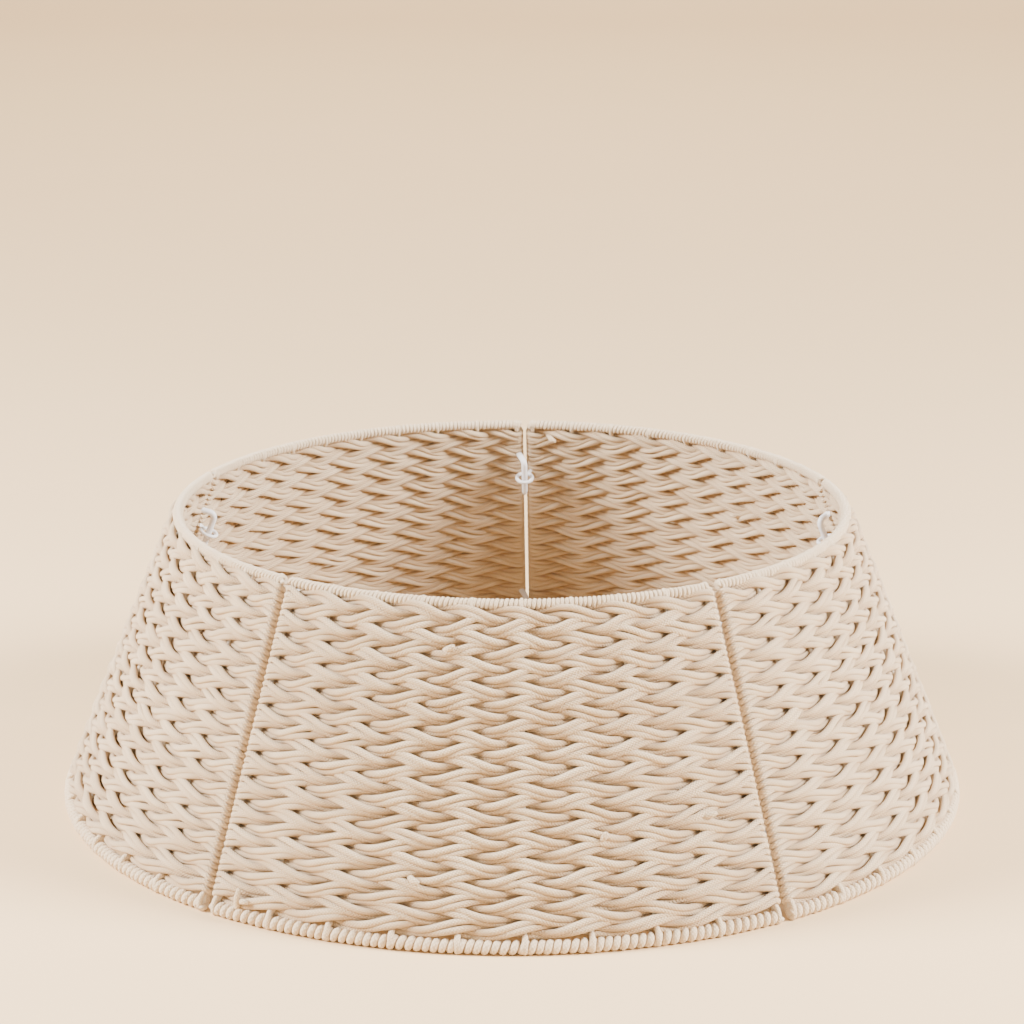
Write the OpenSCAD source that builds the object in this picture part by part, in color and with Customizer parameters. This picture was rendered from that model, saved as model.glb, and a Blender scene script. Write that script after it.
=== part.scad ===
// Woven rope collar for the foot of a Christmas tree: five panels hooked into a cone-shaped ring.
// The cone's axis is Z and the collar stands on z = 0, with its front panel facing -Y.

/* [Collar] */
// Radius of the ring that the top wires make
top_r = 260; // [240:1:280]
// Radius of the ring that the bottom wires make
bottom_r = 350; // [330:1:370]
// Height from the bottom wires to the top wires
rise = 222; // [200:1:240]

/* [Wire frames] */
// Diameter of the ring wires and the legs
wire_d = 4; // [3.5:0.1:4.2]
// Diameter of the ribs
rib_d = 3; // [2.4:0.1:3.4]
// Number of ribs between a panel's two legs
rib_count = 8; // [4:1:10]
// Distance from a seam's middle plane to the axis of the leg beside it
leg_offset = 6.9; // [6.9:0.1:8]

/* [Rope] */
// Thickness of the woven wall
wall_t = 10.9; // [10:0.1:11]
// Diameter of the weave where it turns round a leg
bead_d = 11.4; // [11.2:0.1:11.5]
// Diameter of the rope winding on the top wire
top_wrap_d = 8.2; // [7.4:0.1:9]
// Diameter of the rope winding on the bottom wire
bottom_wrap_d = 11; // [10:0.1:11.6]
// Height that the bottom winding is pressed flat on the floor
flat_h = 0.5; // [0.3:0.1:0.8]
// Distance from a seam's middle plane to the end of each winding
wrap_end = 3.4; // [3.2:0.1:4]

/* [Hooks and eyes] */
// Diameter of a hook's rod
hook_d = 5; // [4:0.1:5]
// Length of the hook's pin, measured from the middle of its arm to its tip
pin_l = 35; // [30:1:36]
// Radius of the bend between a hook's arm and its pin
bend_r = 5; // [4.5:0.1:6]
// Diameter of the wire that an eye is made of
eye_wire_d = 3; // [2.6:0.1:3.2]
// Radius of an eye, to the middle of its wire
eye_r = 6.6; // [6.4:0.1:6.7]
// Distance from the wall's middle to the pin's axis, which the seam folds about
pin_inset = 15; // [14.8:0.1:15.2]
// Distance along the slope from the top wire to the upper eye
upper_eye_s = 46; // [44:1:60]
// Distance along the slope from the lower eye to the bottom wire
lower_eye_up = 42; // [36:1:50]
// Distance that the closing seam's hooks are lifted to come out of their eyes
unhook_lift = 22; // [20:1:24]

/* [Hidden] */
PANELS = ["front", "right", "back_right", "back_left", "left"];
PARTS = ["top_wire", "bottom_wire", "legs", "ribs", "weave", "top_wrap", "bottom_wrap", "hooks", "eyes"];

$fn = 64;
panel_deg = 360 / len(PANELS);
first_seam_deg = -90 - panel_deg / 2;
closing_panel = 0; // the panel whose hooks are lifted to open the ring

bottom_z = bottom_wrap_d / 2 - flat_h;
top_z = bottom_z + rise;
slope_l = norm([bottom_r - top_r, rise]);
lean_deg = atan((bottom_r - top_r) / rise);

joint_gap = 0.3; // between the weave and the windings above and below it
hole_gap = 0.1; // round a wire where it passes through rope
slot_gap = 0.4; // round a hook's arm or an eye's shank where it passes through rope
weave_top_s = top_wrap_d / 2 + joint_gap;
weave_bottom_s = slope_l - bottom_wrap_d / 2 - joint_gap;
bead_inset = 0.4; // how far the beads stop short of the weave's edges
lower_eye_s = slope_l - lower_eye_up;
arm_over_eye = pin_l / 2; // from an eye's plane up to the arm of its hook
tip_l = 3; // of the pin's tapered tip
tip_d = 0.6 * hook_d; // of its small end

// The angle about Z of a panel's lower and upper seams.
function seam_deg(panel) = first_seam_deg + panel_deg * panel;
// The radius and height of the wall's middle, a distance s down the slope from the top wire.
function wall_r(s) = top_r + s * sin(lean_deg);
function wall_z(s) = top_z - s * cos(lean_deg);
// A point of the wall's section, s down the slope and n outwards from the wall's middle.
function wall_point(s, n) = [wall_r(s) + n * cos(lean_deg), wall_z(s) + n * sin(lean_deg)];
// The angle of a rib: the intervals between the legs are all the same.
function leg_deg() = asin(leg_offset / ((top_r + bottom_r) / 2));
function rib_deg(panel, i) =
    seam_deg(panel) + leg_deg() + (i + 1) * (panel_deg - 2 * leg_deg()) / (rib_count + 1);

// Places children on a seam: X points outwards, Y along the ring and Z up the slope.
module at_seam(panel, s) {
    rotate([0, 0, seam_deg(panel)]) translate([wall_r(s), 0, wall_z(s)])
        rotate([0, -lean_deg, 0]) children();
}

// Places children at a panel's two legs: side is 1 at its lower seam and -1 at its upper seam.
module at_leg(panel, side, s) {
    at_seam(side > 0 ? panel : panel + 1, s) translate([0, side * leg_offset, 0]) children();
}

// A rod of diameter d up the slope, from s_low to s_high, on the Z axis of its place.
module leg_rod(panel, side, d, s_high, s_low) {
    at_leg(panel, side, s_low) cylinder(h = s_low - s_high, d = d);
}

module rib_rod(panel, i, d, s_high, s_low) {
    rotate([0, 0, rib_deg(panel, i)]) translate([wall_r(s_low), 0, wall_z(s_low)])
        rotate([0, -lean_deg, 0]) cylinder(h = s_low - s_high, d = d);
}

// A rod of diameter d bent round the cone at radius r and height z. Its ends stop short of the
// seams' middle planes by seam_gap.
module ring_rod(panel, r, z, d, seam_gap) {
    end_deg = asin(seam_gap / r);
    rotate([0, 0, seam_deg(panel) + end_deg]) translate([0, 0, z])
        rotate_extrude(angle = panel_deg - 2 * end_deg) translate([r, 0]) circle(d = d);
}

module both_rings(panel, d, seam_gap) {
    ring_rod(panel, top_r, top_z, d, seam_gap);
    ring_rod(panel, bottom_r, bottom_z, d, seam_gap);
}

module top_wire(panel) {
    color("white") ring_rod(panel, top_r, top_z, wire_d, leg_offset - wire_d / 2);
}

module bottom_wire(panel) {
    color("white") ring_rod(panel, bottom_r, bottom_z, wire_d, leg_offset - wire_d / 2);
}

// Two straight legs, coped onto the ring wires.
module legs(panel) {
    color("white") difference() {
        for (side = [-1, 1]) leg_rod(panel, side, wire_d, 0, slope_l);
        both_rings(panel, wire_d, leg_offset - wire_d);
    }
}

// Straight ribs, coped onto the ring wires.
module ribs(panel) {
    color("white") difference() {
        for (i = [0:rib_count - 1]) rib_rod(panel, i, rib_d, 0, slope_l);
        both_rings(panel, wire_d, leg_offset - wire_d / 2);
    }
}

// The holes that the ribs and legs need in rope, between the middles of the two ring wires.
module wire_holes(panel) {
    for (i = [0:rib_count - 1]) rib_rod(panel, i, rib_d + 2 * hole_gap, 0, slope_l);
    for (side = [-1, 1]) leg_rod(panel, side, wire_d + 2 * hole_gap, 0, slope_l);
}

// A sector of the woven cone, cut off in line with the two legs.
module wall_sector(panel) {
    cut_w = 40;
    difference() {
        rotate([0, 0, seam_deg(panel)]) rotate_extrude(angle = panel_deg)
            polygon([
                wall_point(weave_top_s, wall_t / 2), wall_point(weave_bottom_s, wall_t / 2),
                wall_point(weave_bottom_s, -wall_t / 2), wall_point(weave_top_s, -wall_t / 2),
            ]);
        for (side = [-1, 1])
            at_leg(panel, side, slope_l + cut_w)
                translate([-cut_w / 2, side > 0 ? -cut_w : 0, 0])
                    cube([cut_w, cut_w, slope_l + 2 * cut_w]);
    }
}

// Turns a part's X axis from the wall towards the pin's axis. side as in at_leg.
function arm_deg(side) = 180 + side * atan(leg_offset / pin_inset);
arm_l = norm([leg_offset, pin_inset]);

// A slot for a hook's arm: open through the bead on the inside of the wall, with room behind the
// arm's end, and tall enough for the arm's travel.
module arm_slot(panel, s, travel) {
    slot_w = hook_d + 2 * slot_gap;
    at_leg(panel, 1, s) rotate([0, 0, arm_deg(1)])
        translate([-slot_gap, -slot_w / 2, -slot_w / 2]) cube([bead_d, slot_w, slot_w + travel]);
}

module shank_hole(panel, s) {
    at_leg(panel, -1, s) rotate([0, 0, arm_deg(-1)]) rotate([0, 90, 0])
        cylinder(h = bead_d, d = eye_wire_d + 2 * slot_gap);
}

module weave(panel) {
    travel = panel == closing_panel ? unhook_lift : 0;
    color("antiquewhite") difference() {
        union() {
            wall_sector(panel);
            for (side = [-1, 1])
                leg_rod(panel, side, bead_d, weave_top_s + bead_inset, weave_bottom_s - bead_inset);
        }
        wire_holes(panel);
        for (s = [upper_eye_s, lower_eye_s]) {
            arm_slot(panel, s - arm_over_eye, travel);
            shank_hole(panel, s);
        }
    }
}

module top_wrap(panel) {
    color("ivory") difference() {
        ring_rod(panel, top_r, top_z, top_wrap_d, wrap_end);
        ring_rod(panel, top_r, top_z, wire_d + 2 * hole_gap, wrap_end - wire_d);
        wire_holes(panel);
    }
}

module bottom_wrap(panel) {
    color("ivory") difference() {
        ring_rod(panel, bottom_r, bottom_z, bottom_wrap_d, wrap_end);
        ring_rod(panel, bottom_r, bottom_z, wire_d + 2 * hole_gap, wrap_end - wire_d);
        wire_holes(panel);
        floor_block();
    }
}

// The space under the floor, which the bottom winding is cut flat by.
module floor_block() {
    floor_w = 4 * bottom_r;
    translate([-floor_w / 2, -floor_w / 2, -bottom_wrap_d]) cube([floor_w, floor_w, bottom_wrap_d]);
}

// A hook: an arm from the leg, a quarter bend and a pin with a tapered tip. Its own origin is on
// the leg's axis, level with the arm, X points at the pin's axis, and the pin points down.
module hook(leg_hole_d) {
    difference() {
        union() {
            rotate([0, 90, 0]) cylinder(h = arm_l - bend_r, d = hook_d);
            translate([arm_l - bend_r, 0, -bend_r]) rotate([90, 0, 0])
                rotate_extrude(angle = 90) translate([bend_r, 0]) circle(d = hook_d);
            translate([arm_l, 0, tip_l - pin_l]) cylinder(h = pin_l - tip_l - bend_r, d = hook_d);
            translate([arm_l, 0, -pin_l]) cylinder(h = tip_l, d1 = tip_d, d2 = hook_d);
        }
        translate([0, 0, -hook_d]) cylinder(h = 2 * hook_d, d = leg_hole_d);
    }
}

// The upper and lower hooks. Those of the closing seam are drawn lifted out of their eyes.
module hooks(panel) {
    lift = panel == closing_panel ? unhook_lift : 0;
    leg_hole_d = panel == closing_panel ? wire_d + 2 * slot_gap : wire_d;
    color("whitesmoke")
        for (s = [upper_eye_s, lower_eye_s])
            at_leg(panel, 1, s - arm_over_eye - lift) rotate([0, 0, arm_deg(1)]) hook(leg_hole_d);
}

// An eye: a ring round the pin's axis, held by a shank on the leg.
module eye() {
    difference() {
        union() {
            translate([arm_l, 0, 0]) rotate_extrude() translate([eye_r, 0]) circle(d = eye_wire_d);
            rotate([0, 90, 0]) cylinder(h = arm_l - eye_r, d = eye_wire_d);
        }
        translate([0, 0, -eye_wire_d]) cylinder(h = 2 * eye_wire_d, d = wire_d);
    }
}

module eyes(panel) {
    color("whitesmoke")
        for (s = [upper_eye_s, lower_eye_s])
            at_leg(panel, -1, s) rotate([0, 0, arm_deg(-1)]) eye();
}

for (i = [0:len(PANELS) - 1]) {
    top_wire(i);
    bottom_wire(i);
    legs(i);
    ribs(i);
    weave(i);
    top_wrap(i);
    bottom_wrap(i);
    hooks(i);
    eyes(i);
}
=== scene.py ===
"""The looks of a woven rope tree collar: twined cotton walls, wound rims, wires, hooks and eyes."""

import math

import bpy
import numpy as np
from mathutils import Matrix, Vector


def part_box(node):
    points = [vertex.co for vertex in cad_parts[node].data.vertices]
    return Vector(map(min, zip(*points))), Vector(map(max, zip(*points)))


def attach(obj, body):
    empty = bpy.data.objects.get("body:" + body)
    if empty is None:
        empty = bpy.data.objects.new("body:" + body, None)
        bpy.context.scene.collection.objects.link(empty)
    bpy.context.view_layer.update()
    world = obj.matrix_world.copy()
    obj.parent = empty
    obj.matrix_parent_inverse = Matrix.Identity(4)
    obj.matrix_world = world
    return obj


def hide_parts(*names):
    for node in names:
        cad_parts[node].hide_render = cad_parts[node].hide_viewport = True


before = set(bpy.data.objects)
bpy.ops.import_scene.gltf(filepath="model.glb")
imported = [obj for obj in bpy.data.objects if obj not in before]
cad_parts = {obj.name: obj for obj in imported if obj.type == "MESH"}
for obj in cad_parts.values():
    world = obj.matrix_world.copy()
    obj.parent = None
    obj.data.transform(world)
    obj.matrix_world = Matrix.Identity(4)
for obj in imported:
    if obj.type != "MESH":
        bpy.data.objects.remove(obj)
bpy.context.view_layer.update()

MM = 0.001
PANELS = ["front", "right", "back_right", "back_left", "left"]
PANEL_ANGLE = 2 * math.pi / len(PANELS)
FIRST_SEAM = -math.pi / 2 - PANEL_ANGLE / 2

# ---------------------------------------------------------------- sizes, in metres
WIRE_R = 2.0 * MM
RIB_COUNT = 8
CLOSING_PANEL = 0  # whose hooks slide, at its first leg
LEG_OFFSET = 6.9 * MM  # from a seam's middle plane to a leg
WRAP_END = 2.0 * MM  # from a seam's middle plane to the end of a winding

ROWS = 26
CORD_R = 2.5 * MM
CORD_SIDES = 8
FLOAT_OUT = 1.5  # from the wall's middle to a cord on a rib, in quarter rows
CLIMB = 1.65  # of a pair between two ribs, either way, in quarter rows
TURN_R = 3.65 * MM  # from a leg's axis to a cord that turns round it
TURN_CORD_R = 2.2 * MM
SWERVE = 0.6  # of a cord in or out where its two pairs cross, in quarter rows
PAIR_APART = 1.05  # half the height between the two cords of a pair on a rib, in quarter rows
PAIR_CLOSING = 0.3  # by how much they come closer between two ribs, in quarter rows
ARCH = 0.85  # how much higher a cord runs on a rib than between two, in quarter rows
STEPS = 9  # rings of a cord between two ribs

TOP_CORD_R = 1.66 * MM
TOP_PITCH = 3.25 * MM
BOTTOM_CORD_R = 2.85 * MM
BOTTOM_PITCH = 6.1 * MM
TOP_TIE_R = 1.5 * MM
TOP_TIE_REACH = 2.6 * MM  # from the rim to the weave
BOTTOM_TIE_R = 2.2 * MM
BOTTOM_TIE_REACH = 4.2 * MM
STUB_R = 2.3 * MM
STUB_ROOT = 1.5 * MM  # how far out of the wall's middle a cord end starts
STUB_RISE = 6.2 * MM  # how far out it comes from there
STUB_CURL = 1.9  # of its rise, in radians of a sine


def ring_of(node_end):
    """The radius and height of the ring that the five wires of one kind make."""
    low_y = min(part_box(f"{p}_{node_end}")[0][1] for p in PANELS)
    low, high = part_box(f"front_{node_end}")
    return -low_y - WIRE_R, (low[2] + high[2]) / 2


TOP_RADIUS, TOP_Z = ring_of("top_wire")
BOTTOM_RADIUS, BOTTOM_Z = ring_of("bottom_wire")
SLOPE = math.hypot(BOTTOM_RADIUS - TOP_RADIUS, TOP_Z - BOTTOM_Z)
LEAN = math.atan2(BOTTOM_RADIUS - TOP_RADIUS, TOP_Z - BOTTOM_Z)
WRAP_TOP_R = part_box("front_top_wrap")[1][2] - TOP_Z
WRAP_BOTTOM_R = -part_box("front_bottom_wrap")[0][1] - BOTTOM_RADIUS
WEAVE_TOP = WRAP_TOP_R - 0.2 * MM
WEAVE_BOTTOM = SLOPE - WRAP_BOTTOM_R - 2.2 * MM
ROW_PITCH = (WEAVE_BOTTOM - WEAVE_TOP) / ROWS


# ---------------------------------------------------------------- the cone's shape
def wall_radius(s):
    """The radius of the wall's middle, s down the slope from the top wire."""
    return TOP_RADIUS + s * math.sin(LEAN)


def on_wall(angle, s, out):
    """Points at an angle about Z, s down the slope and out from the wall's middle."""
    radius = wall_radius(s) + out * math.cos(LEAN)
    z = TOP_Z - s * math.cos(LEAN) + out * math.sin(LEAN)
    return np.stack([radius * np.cos(angle), radius * np.sin(angle), z + 0 * radius], axis=-1)


def seam_angle(panel):
    return FIRST_SEAM + PANEL_ANGLE * panel


def rib_angles(panel, s):
    """The angles of a panel's first leg, its ribs and its last leg, s down the slope."""
    mean = math.asin(LEG_OFFSET / ((TOP_RADIUS + BOTTOM_RADIUS) / 2))
    here = math.asin(LEG_OFFSET / wall_radius(s))
    angles = np.linspace(mean, PANEL_ANGLE - mean, RIB_COUNT + 2)
    angles[0], angles[-1] = here, PANEL_ANGLE - here
    return seam_angle(panel) + angles


# ---------------------------------------------------------------- meshes of swept cords
class Cords:
    """Collects round cords into one mesh, with a UV map along and round each cord."""

    def __init__(self, sides):
        self.sides = sides
        self.points, self.faces, self.uvs, self.tones_and_depth_shades = [], [], [], []
        self.count = 0

    def add(self, line, radius, side_on, tone_and_depth_shade, closed=False, cap=True):
        """Adds a cord along line, n by 3, with a radius at each point. side_on is a direction, or
        one for each point, that the cord never runs along. tone is one value, or one for each: the
        cord's own tone and, on the woven cords, painted shade where they run near the wall's middle."""
        line = np.asarray(line, float)
        n = len(line)
        radius = np.broadcast_to(np.asarray(radius, float), (n,))
        if closed:
            ahead = np.roll(line, -1, 0) - np.roll(line, 1, 0)
        else:
            ahead = np.gradient(line, axis=0)
        ahead /= np.linalg.norm(ahead, axis=1, keepdims=True)
        side_on = np.broadcast_to(side_on, (n, 3))
        one = side_on - (side_on * ahead).sum(1, keepdims=True) * ahead
        one /= np.linalg.norm(one, axis=1, keepdims=True)
        two = np.cross(ahead, one)
        turn = np.linspace(0, 2 * math.pi, self.sides, endpoint=False)
        ring = one[:, None] * np.cos(turn)[None, :, None] + two[:, None] * np.sin(turn)[None, :, None]
        points = line[:, None] + ring * radius[:, None, None]
        following = np.roll(line, -1, 0) if closed else line[1:]
        steps = np.linalg.norm(following - line[: len(following)], axis=1)
        along = np.concatenate([[0], np.cumsum(steps)])
        rings = n if closed else n - 1
        i = np.arange(rings)[:, None]
        k = np.arange(self.sides)[None, :]
        nxt, nk = (i + 1) % n, (k + 1) % self.sides
        quads = np.stack([i * self.sides + k, i * self.sides + nk, nxt * self.sides + nk,
                          nxt * self.sides + k], axis=-1)
        self.points.append(points.reshape(-1, 3))
        self.faces.extend((quads.reshape(-1, 4) + self.count).tolist())
        a0, a1 = along[i] + 0 * k, along[i + 1] + 0 * k
        v0, v1 = k / self.sides + 0 * i, (k + 1) / self.sides + 0 * i
        uv = np.stack([np.stack([a0, v0], -1), np.stack([a0, v1], -1),
                       np.stack([a1, v1], -1), np.stack([a1, v0], -1)], axis=-2)
        self.uvs.append(uv.reshape(-1, 2))
        self.tones_and_depth_shades.append(np.repeat(np.broadcast_to(tone_and_depth_shade, (n,)), self.sides))
        if cap and not closed:
            first = [self.count + j for j in range(self.sides)]
            last = [self.count + (n - 1) * self.sides + j for j in range(self.sides)]
            for loop, at in ((first[::-1], 0.0), (last, along[-1])):
                self.faces.append(loop)
                self.uvs.append(np.tile([at, 0.5], (self.sides, 1)))
        self.count += n * self.sides

    def build(self, name, material):
        points = np.concatenate(self.points)
        points[:, 2] = np.maximum(points[:, 2], 0.05 * MM)
        mesh = bpy.data.meshes.new(name)
        mesh.from_pydata(points.tolist(), [], self.faces)
        uv = mesh.uv_layers.new(name="cord")
        uv.data.foreach_set("uv", np.concatenate(self.uvs).astype(np.float32).ravel())
        tone_and_depth_shade = mesh.attributes.new("tone_and_depth_shade", "FLOAT", "POINT")
        tone_and_depth_shade.data.foreach_set("value", np.concatenate(self.tones_and_depth_shades).astype(np.float32))
        mesh.polygons.foreach_set("use_smooth", [True] * len(mesh.polygons))
        mesh.materials.append(material)
        mesh.update()
        piece = bpy.data.objects.new(name, mesh)
        bpy.context.scene.collection.objects.link(piece)
        return piece


def waver(rng, where, size, waves):
    """A smooth random wave of about that size, with about that many waves per unit of where."""
    total = 0
    for share in (0.5, 0.8, 1.25, 1.9):
        total = total + np.sin(2 * math.pi * where * waves * share + rng.uniform(0, 2 * math.pi))
    return size * total / 1.8


# ---------------------------------------------------------------- materials
class Nodes:
    """Adds nodes to a new material and links them."""

    def __init__(self, name):
        self.material = bpy.data.materials.new(name)
        self.material.use_nodes = True
        self.tree = self.material.node_tree
        self.shader = self.tree.nodes["Principled BSDF"]

    def put(self, kind, **inputs):
        """A node of that kind. A key is an input's name or _ and its number, and a value is a
        constant or an output socket."""
        node = self.tree.nodes.new(kind)
        for key, value in inputs.items():
            self.set(node, int(key[1:]) if key[0] == "_" else key, value)
        return node

    def set(self, node, key, value):
        if isinstance(value, bpy.types.NodeSocket):
            self.tree.links.new(value, node.inputs[key])
        else:
            node.inputs[key].default_value = value

    def math(self, operation, a, b=0.0):
        node = self.put("ShaderNodeMath", _0=a, _1=b)
        node.operation = operation
        return node.outputs[0]

    def mix(self, share, a, b):
        node = self.tree.nodes.new("ShaderNodeMix")
        node.data_type = "RGBA"
        self.set(node, 0, share)
        self.set(node, 6, a)
        self.set(node, 7, b)
        return node.outputs[2]


def shade(colour, by):
    return (*[c * by for c in colour], 1.0)


def cotton(name, colour, strands, plait, depth):
    """Braided cotton cord: strands of yarn that cross each other round the cord, a yarn's crossing
    every plait metres, with painted shade in the grooves between the yarns. The tone attribute is
    each cord's own tone, and it also turns the cord brown where it runs inside the wall near its
    middle: painted shade there."""
    n = Nodes(name)
    uv = n.put("ShaderNodeUVMap")
    uv.uv_map = "cord"
    split = n.put("ShaderNodeSeparateXYZ", _0=uv.outputs[0])
    along = n.math("MULTIPLY", split.outputs[0], math.pi / plait)
    around = n.math("MULTIPLY", split.outputs[1], math.pi * strands)
    one = n.math("SINE", n.math("ADD", along, around))
    other = n.math("SINE", n.math("SUBTRACT", along, around))
    crossing = n.math("ABSOLUTE", n.math("MULTIPLY", one, other))
    yarn = n.math("POWER", crossing, 0.85)
    place = n.put("ShaderNodeTexCoord")
    fuzz = n.put("ShaderNodeTexNoise", Vector=place.outputs["Object"], Scale=1400.0, Detail=2.0)
    patch = n.put("ShaderNodeTexNoise", Vector=place.outputs["Object"], Scale=34.0, Detail=3.0)
    # The tone attribute mixes towards brown: the cord's own tone, and painted shade where a woven cord
    # runs near the wall's middle.
    tone_and_depth_shade = n.put("ShaderNodeAttribute")
    tone_and_depth_shade.attribute_name = "tone_and_depth_shade"
    depth_shaded = n.mix(tone_and_depth_shade.outputs["Fac"], (colour[0] * 0.42, colour[1] * 0.27, colour[2] * 0.15, 1.0),
                   shade(colour, 1.05))
    warm = (colour[0] * 0.93, colour[1] * 0.89, colour[2] * 0.82, 1.0)
    patchy = n.mix(n.math("MULTIPLY", patch.outputs[0], 0.45), depth_shaded, warm)
    # Painted shade: the colour turns darker and browner in the grooves between the yarns.
    groove_shade = n.math("MULTIPLY", n.math("SUBTRACT", 1.0, yarn), 0.95)
    groove_shaded = n.mix(groove_shade, patchy, (colour[0] * 0.72, colour[1] * 0.66, colour[2] * 0.56, 1.0))
    n.set(n.shader, "Base Color", groove_shaded)
    height = n.math("ADD", yarn, n.math("MULTIPLY", fuzz.outputs[0], 0.5))
    bump = n.put("ShaderNodeBump", Height=height, Strength=1.0, Distance=depth)
    n.set(n.shader, "Normal", bump.outputs[0])
    n.set(n.shader, "Roughness", 0.92)
    n.set(n.shader, "Specular IOR Level", 0.22)
    n.set(n.shader, "Sheen Weight", 0.25)
    n.set(n.shader, "Sheen Roughness", 0.6)
    return n.material


def paint(name, colour, roughness):
    """Painted wire, with faint unevenness in its gloss and tone."""
    n = Nodes(name)
    place = n.put("ShaderNodeTexCoord")
    spots = n.put("ShaderNodeTexNoise", Vector=place.outputs["Object"], Scale=180.0, Detail=3.0)
    n.set(n.shader, "Base Color", n.mix(spots.outputs[0], shade(colour, 0.93), shade(colour, 1.05)))
    n.set(n.shader, "Roughness", n.math("ADD", n.math("MULTIPLY", spots.outputs[0], 0.15), roughness))
    bump = n.put("ShaderNodeBump", Height=spots.outputs[0], Strength=0.25, Distance=0.1 * MM)
    n.set(n.shader, "Normal", bump.outputs[0])
    return n.material


COTTON = (0.86, 0.685, 0.475)
WEAVE_COTTON = cotton("woven_cotton", COTTON, 6, 2.4 * MM, 0.6 * MM)
RIM_COTTON = cotton("rim_cotton", (0.87, 0.72, 0.53), 6, 1.9 * MM, 0.3 * MM)
FRAME_PAINT = paint("cream_wire_paint", (0.74, 0.66, 0.54), 0.45)
RIB_PAINT = paint("cream_rib_paint", (0.74, 0.65, 0.52), 0.45)
HOOK_PAINT = paint("white_hook_paint", (0.78, 0.77, 0.79), 0.35)


# ---------------------------------------------------------------- the woven wall
def pair_path(u, upper):
    """How far out and up a cord of a weaver's pair runs, in units of a quarter row. The pair passes
    over the ribs at even u and behind those at odd u, and climbs as it crosses the front. Where the
    two pairs of a row cross, the upper cord of the climbing pair lies in front."""
    side = 1 if upper else -1
    wave, crossing = np.sin(math.pi * u), np.sin(math.pi * u) ** 2
    out = FLOAT_OUT * np.cos(math.pi * u) - SWERVE * wave + side * SWERVE * crossing
    up = CLIMB * wave + ARCH * np.cos(math.pi * u) + side * (PAIR_APART - PAIR_CLOSING * crossing)
    return out, up


def row_loop(rng, panel, row, upper):
    """One endless cord of a row. It crosses the panel in one weaver's pair, turns round the last
    leg, comes back in the other weaver's pair and turns round the first leg."""
    middle = WEAVE_TOP + (row + 0.5) * ROW_PITCH
    unit = ROW_PITCH / 4
    twist = 1 if row % 2 else -1
    legs = RIB_COUNT + 1
    u = np.linspace(0, legs, legs * STEPS + 1)
    row_rng = np.random.default_rng(1000 * panel + row)
    row_wave = waver(row_rng, u, 0.55 * MM, 0.21)
    near_leg = np.minimum(1, np.minimum(u, legs - u) / 0.5)
    angle = np.interp(u, np.arange(legs + 1), rib_angles(panel, middle))

    def across(start):
        out, up = pair_path(twist * (u + start), upper)
        out = unit * out + near_leg * waver(rng, u, 0.34 * MM, 0.55)
        up = unit * up + near_leg * waver(rng, u, 0.55 * MM, 0.5)
        return on_wall(angle, middle + row_wave - up, out), out, up

    there, out_1, up_1 = across(0)
    back, out_2, up_2 = across(1)

    def round_leg(end, start_up, end_up, start_side, outward):
        """Points round a leg, from one side of the wall to the other."""
        share = np.linspace(0, 1, 8)[1:-1]
        s = middle + row_wave[end] - (start_up + (end_up - start_up) * share)
        points = on_wall(angle[end] + 0 * s, s, start_side * TURN_R * np.cos(math.pi * share))
        sideways = outward * TURN_R * np.sin(math.pi * share)
        points[:, 0] -= math.sin(angle[end]) * sideways
        points[:, 1] += math.cos(angle[end]) * sideways
        return points

    last = round_leg(-1, up_1[-1], up_2[-1], np.sign(out_1[-1]), 1)
    first = round_leg(0, up_2[0], up_1[0], np.sign(out_2[0]), -1)
    line = np.concatenate([there, last, back[::-1], first])
    radius = CORD_R * (1 + waver(rng, np.arange(len(line)) / 30, 0.025, 0.8))
    slim = np.concatenate([1 - near_leg, np.ones(6), 1 - near_leg, np.ones(6)])
    # How far each point runs out of the wall's middle; weave() turns this into painted shade.
    depth = np.concatenate([np.abs(out_1), np.full(6, TURN_R), np.abs(out_2[::-1]),
                            np.full(6, TURN_R)])
    return line, radius + (TURN_CORD_R - radius) * slim, depth / (unit * FLOAT_OUT)


def down_slope(line):
    """The direction down the slope at each point."""
    angle = np.arctan2(line[:, 1], line[:, 0])
    return np.stack([math.sin(LEAN) * np.cos(angle), math.sin(LEAN) * np.sin(angle),
                     -math.cos(LEAN) + 0 * angle], axis=-1)


# Cord ends that stick out of the wall: degrees about Z, mm down the slope, 1 for the outside of the
# wall or -1 for its inside, the degrees upwards from the ring that the end lies at, and mm long.
STUBS = (
    (-97.5, 34, 1, 20, 8),
    (-100, 194, 1, -25, 9),
    (-63, 160, 1, 10, 9),
    (-121.6, 236, 1, 82, 15),
    (-121.4, 230, 1, 5, 10),
    (-76.5, 168, 1, 65, 6),
    (49, 70, -1, 20, 7),
    (85.5, 9, -1, -160, 7),
)


def add_stub(cords, angle, s, side, lie, length):
    """A short cord end that comes out of the wall and lies down along it."""
    share = np.linspace(0, 1, 9)
    out = side * (STUB_ROOT + STUB_RISE * np.sin(share * STUB_CURL))
    reach = length * share
    line = on_wall(angle + reach * math.cos(lie) / wall_radius(s), s - reach * math.sin(lie), out)
    around_z = np.array([-math.sin(angle), math.cos(angle), 0])
    across = math.cos(lie) * down_slope(line) + math.sin(lie) * around_z
    cords.add(line, STUB_R * (1 - 0.3 * share ** 4), across, 0.95)


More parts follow.
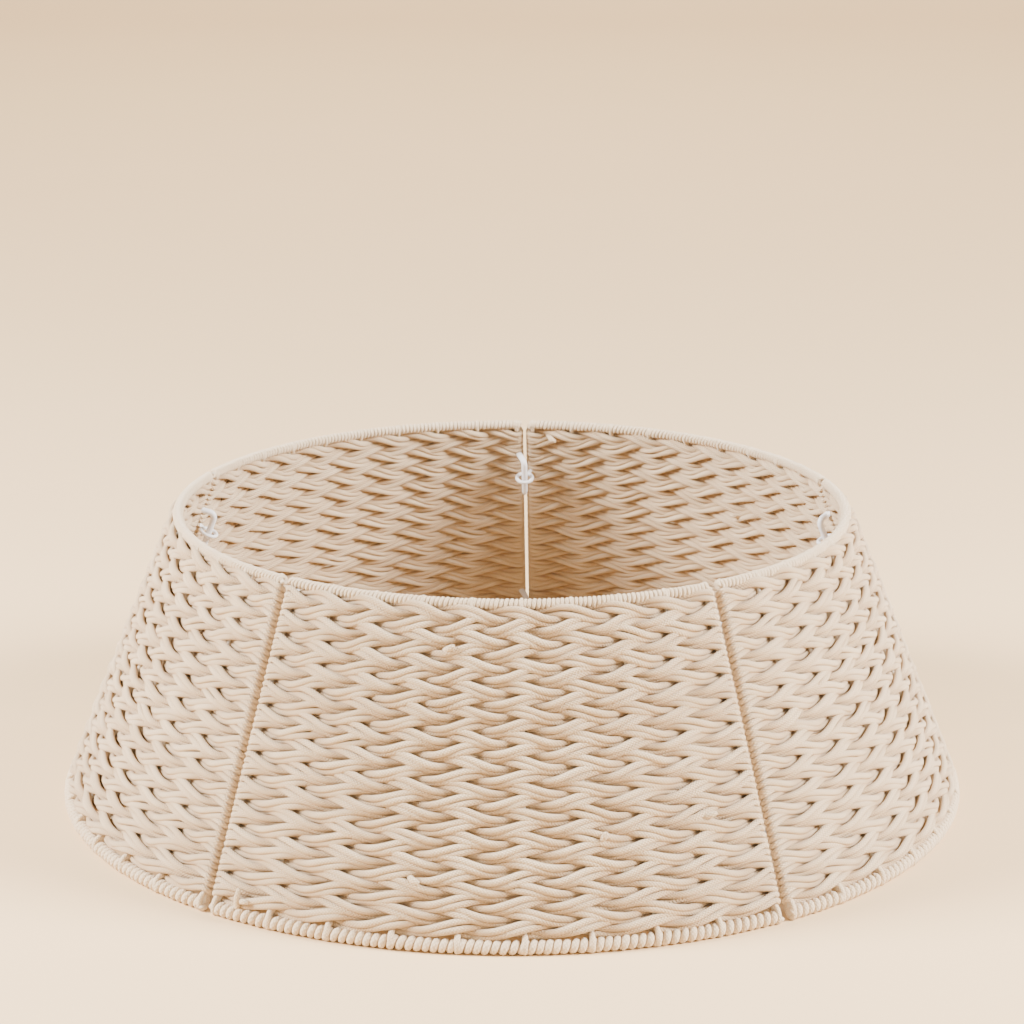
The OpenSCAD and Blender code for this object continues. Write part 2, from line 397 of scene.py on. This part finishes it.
def weave(panel):
    cords = Cords(CORD_SIDES)
    rng = np.random.default_rng(40 + panel)
    for row in range(ROWS):
        for upper in (True, False):
            line, radius, surface = row_loop(rng, panel, row, upper)
            # Each cord's own random tone, times painted shade that darkens the cord where it runs near
            # the wall's middle.
            tone_and_depth_shade = rng.uniform(0.5, 1) * np.clip(surface, 0, 1) ** 1.8
            cords.add(line, radius, down_slope(line), tone_and_depth_shade, closed=True)
    for degrees, down, side, lie, length in STUBS:
        angle = math.radians(degrees)
        if seam_angle(panel) < angle < seam_angle(panel + 1):
            add_stub(cords, angle, down * MM, side, math.radians(lie), length * MM)
    return cords.build(f"{PANELS[panel]}_woven_cords", WEAVE_COTTON)


# ---------------------------------------------------------------- the wound rims
def add_tie(cords, angle, s, half_out, half_s, tie_r):
    """A loop of cord round a rim, s down the slope to its middle."""
    swing = np.linspace(0, 2 * math.pi, 20, endpoint=False)
    line = on_wall(angle + 0 * swing, s + half_s * np.cos(swing), half_out * np.sin(swing))
    cords.add(line, tie_r, (-math.sin(angle), math.cos(angle), 0), 0.9, closed=True)


def winding(panel, name, ring_radius, ring_z, outer_r, cord_r, pitch, sides, steps, seed):
    """A cord wound round a ring wire from one end of the panel to the other, and the loops that tie
    the rim to the ribs and legs."""
    rng = np.random.default_rng(seed + panel)
    end = math.asin((WRAP_END + cord_r) / ring_radius)
    turns = round((PANEL_ANGLE - 2 * end) * ring_radius / pitch)
    t = np.arange(turns * steps + 1) / steps
    crowd = waver(rng, t, 0.1, 0.08)
    angle = seam_angle(panel) + end + (PANEL_ANGLE - 2 * end) * (t + crowd) / turns
    coil = outer_r - cord_r + waver(rng, t, 0.12 * MM, 0.45)
    swing = 2 * math.pi * t
    out = coil * np.cos(swing)
    up = coil * np.sin(swing)
    radius = ring_radius + out
    line = np.stack([radius * np.cos(angle), radius * np.sin(angle), ring_z + up], axis=-1)
    along = np.stack([-np.sin(angle), np.cos(angle), 0 * angle], axis=-1)
    cords = Cords(sides)
    cords.add(line, cord_r * (1 + waver(rng, t, 0.03, 0.5)), along, 0.8)
    at_top = ring_z > BOTTOM_Z
    reach = TOP_TIE_REACH if at_top else BOTTOM_TIE_REACH
    tie_r = TOP_TIE_R if at_top else BOTTOM_TIE_R
    base = 0 if at_top else SLOPE
    for number, tie_angle in enumerate(rib_angles(panel, base)):
        grow = reach * rng.uniform(0.8, 1.2) / 2
        if at_top and panel == CLOSING_PANEL and number == 0:
            continue  # its leg has the lifted hook's arm just under the rim
        middle = base + (grow if at_top else -grow)
        half_s = outer_r - tie_r + grow + 0.5 * MM
        add_tie(cords, tie_angle, middle, outer_r - 0.8 * tie_r, half_s, tie_r)
    return cords.build(name, RIM_COTTON)


for index, panel_name in enumerate(PANELS):
    body = f"{panel_name}_panel"
    wall = weave(index)
    top = winding(index, f"{panel_name}_top_winding", TOP_RADIUS, TOP_Z, WRAP_TOP_R, TOP_CORD_R,
                  TOP_PITCH, 7, 12, 200)
    bottom = winding(index, f"{panel_name}_bottom_winding", BOTTOM_RADIUS, BOTTOM_Z, WRAP_BOTTOM_R,
                     BOTTOM_CORD_R, BOTTOM_PITCH, 8, 14, 300)
    for piece, node, slot in ((wall, "weave", "woven_rope"), (top, "top_wrap", "rim_cord"),
                              (bottom, "bottom_wrap", "rim_cord")):
        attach(piece, body)
        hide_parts(f"{panel_name}_{node}")

for panel_name in PANELS:
    for part, material in (("top_wire", FRAME_PAINT), ("bottom_wire", FRAME_PAINT),
                           ("legs", FRAME_PAINT), ("ribs", RIB_PAINT),
                           ("hooks", HOOK_PAINT), ("eyes", HOOK_PAINT)):
        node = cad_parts[f"{panel_name}_{part}"]
        node.data.materials.clear()
        node.data.materials.append(material)

# ---------------------------------------------------------------- studio
CAMERA_DISTANCE = 2.41
CAMERA_HEIGHT = 0.896
CAMERA_TURN = math.radians(2.376)  # round the collar, from straight in front
CAMERA_PITCH = math.radians(15.632)
CAMERA_LENS = 3.122  # in picture widths


def add_camera():
    data = bpy.data.cameras.new("camera")
    data.sensor_width = 36
    data.lens = 36 * CAMERA_LENS
    data.clip_end = 60
    camera = bpy.data.objects.new("camera", data)
    camera.location = (CAMERA_DISTANCE * math.sin(CAMERA_TURN),
                       -CAMERA_DISTANCE * math.cos(CAMERA_TURN), CAMERA_HEIGHT)
    camera.rotation_euler = (math.pi / 2 - CAMERA_PITCH, 0, CAMERA_TURN)
    bpy.context.scene.collection.objects.link(camera)
    bpy.context.scene.camera = camera


def add_area(name, place, aim, width, height, power, colour):
    data = bpy.data.lights.new(name, "AREA")
    data.shape = "RECTANGLE"
    data.size, data.size_y = width, height
    data.energy = power
    data.color = colour
    light = bpy.data.objects.new(name, data)
    light.location = place
    light.rotation_euler = (Vector(aim) - Vector(place)).to_track_quat("-Z", "Y").to_euler()
    bpy.context.scene.collection.objects.link(light)


def add_backdrop():
    """A seamless sweep: a floor that curves up into a wall far behind the collar."""
    half_w, near, far, bend, top = 12.0, -6.0, 5.0, 2.5, 8.0
    profile = [(near, 0.0), (far, 0.0)]
    profile += [(far + bend * math.sin(a), bend - bend * math.cos(a))
                for a in np.linspace(0, math.pi / 2, 24)[1:]]
    profile.append((far + bend, top))
    points = [(x, y, z) for y, z in profile for x in (-half_w, half_w)]
    faces = [(2 * i, 2 * i + 1, 2 * i + 3, 2 * i + 2) for i in range(len(profile) - 1)]
    mesh = bpy.data.meshes.new("backdrop")
    mesh.from_pydata(points, [], faces)
    mesh.polygons.foreach_set("use_smooth", [True] * len(mesh.polygons))
    n = Nodes("backdrop_paper")
    place = n.put("ShaderNodeTexCoord")
    grain = n.put("ShaderNodeTexNoise", Vector=place.outputs["Object"], Scale=3.0, Detail=2.0)
    n.set(n.shader, "Base Color", n.mix(grain.outputs[0], (0.79, 0.575, 0.335, 1), (0.81, 0.59, 0.35, 1)))
    n.set(n.shader, "Roughness", 0.95)
    n.set(n.shader, "Specular IOR Level", 0.1)
    mesh.materials.append(n.material)
    backdrop = bpy.data.objects.new("backdrop", mesh)
    bpy.context.scene.collection.objects.link(backdrop)


def add_world():
    world = bpy.data.worlds.new("studio")
    world.use_nodes = True
    sky = world.node_tree.nodes["Background"]
    sky.inputs[0].default_value = (1.0, 0.965, 0.915, 1)
    sky.inputs[1].default_value = 0.5
    bpy.context.scene.world = world


add_camera()
add_backdrop()
add_world()
MIDDLE = (0, 0, 0.12)
add_area("left_softbox", (-2.4, -0.5, 1.7), MIDDLE, 1.1, 1.1, 330, (1.0, 0.975, 0.94))
add_area("right_softbox", (2.4, -0.5, 1.7), MIDDLE, 1.1, 1.1, 330, (1.0, 0.975, 0.94))
add_area("front_fill", (0.0, -3.4, 2.2), MIDDLE, 2.0, 1.2, 4, (1.0, 0.975, 0.94))
add_area("backdrop_wash", (0.0, 2.2, 4.2), (0, 7.5, 2.4), 5.0, 1.5, 560, (1.0, 0.93, 0.82))
